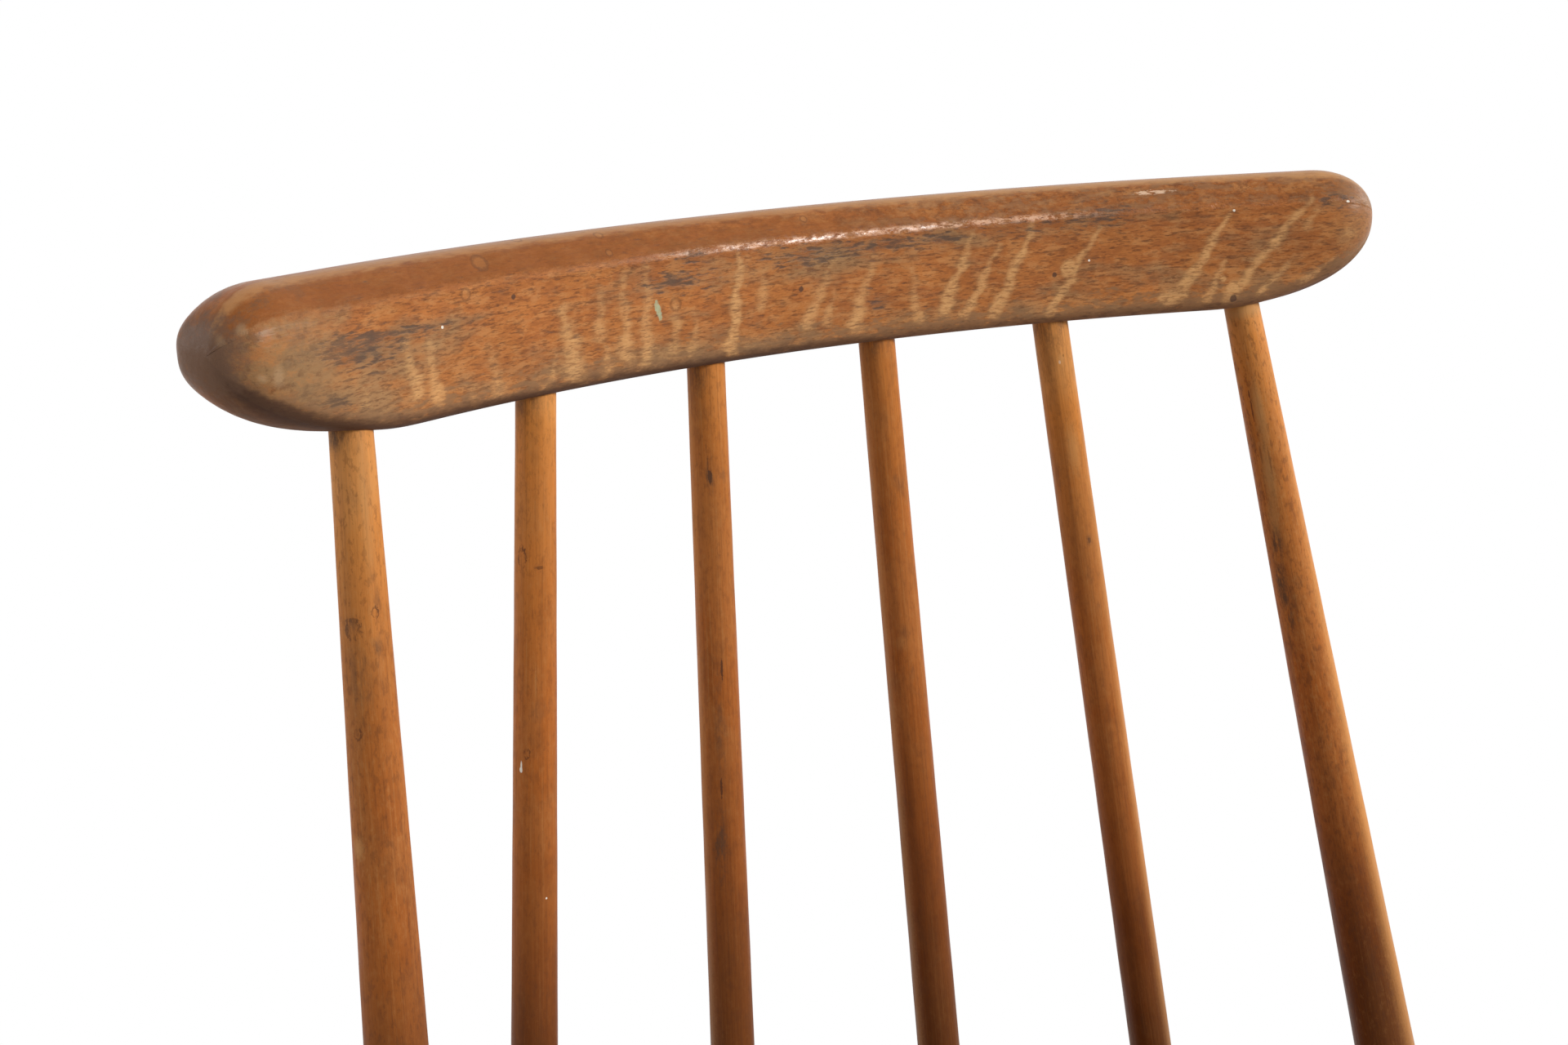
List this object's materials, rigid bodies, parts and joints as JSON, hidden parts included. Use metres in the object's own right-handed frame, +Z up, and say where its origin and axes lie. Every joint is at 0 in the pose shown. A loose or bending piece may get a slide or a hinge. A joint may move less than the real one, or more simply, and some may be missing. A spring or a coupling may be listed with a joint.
{
  "type": "spindle-back side chair",
  "caption": "Wooden side chair with a bent crest rail on slim raked spindles and tapered posts, a saddled plank seat, splayed turned legs and an H stretcher.",
  "frame": {"origin": "on the floor, under the middle of the chair's box", "axes": "+Z up, the sitter faces -Y, +X to the right of someone who looks at the chair's front along +Y"},
  "size_m": [0.453, 0.4641, 0.8383],
  "materials": {
    "rail_varnish": "worn reddish-brown varnish over beech",
    "stick_varnish": "golden-brown satin varnish over beech",
    "seat_varnish": "worn satin varnish over beech",
    "leg_varnish": "satin varnish over beech",
    "wedge_end_grain": "varnished end grain"
  },
  "bodies": {
    "root": {"crest_rail": "rail_varnish", "back_post_left": "stick_varnish", "back_post_right": "stick_varnish", "back_post_left_wedge": "wedge_end_grain", "back_post_right_wedge": "wedge_end_grain", "back_spindle_1": "stick_varnish", "back_spindle_2": "stick_varnish", "back_spindle_3": "stick_varnish", "back_spindle_4": "stick_varnish", "seat": "seat_varnish", "leg_front_left": "leg_varnish", "leg_front_right": "leg_varnish", "leg_back_left": "leg_varnish", "leg_back_right": "leg_varnish", "leg_front_left_wedge": "wedge_end_grain", "leg_front_right_wedge": "wedge_end_grain", "leg_back_left_wedge": "wedge_end_grain", "leg_back_right_wedge": "wedge_end_grain", "side_stretcher_left": "leg_varnish", "side_stretcher_right": "leg_varnish", "cross_stretcher": "leg_varnish"}
  },
  "joints": []
}
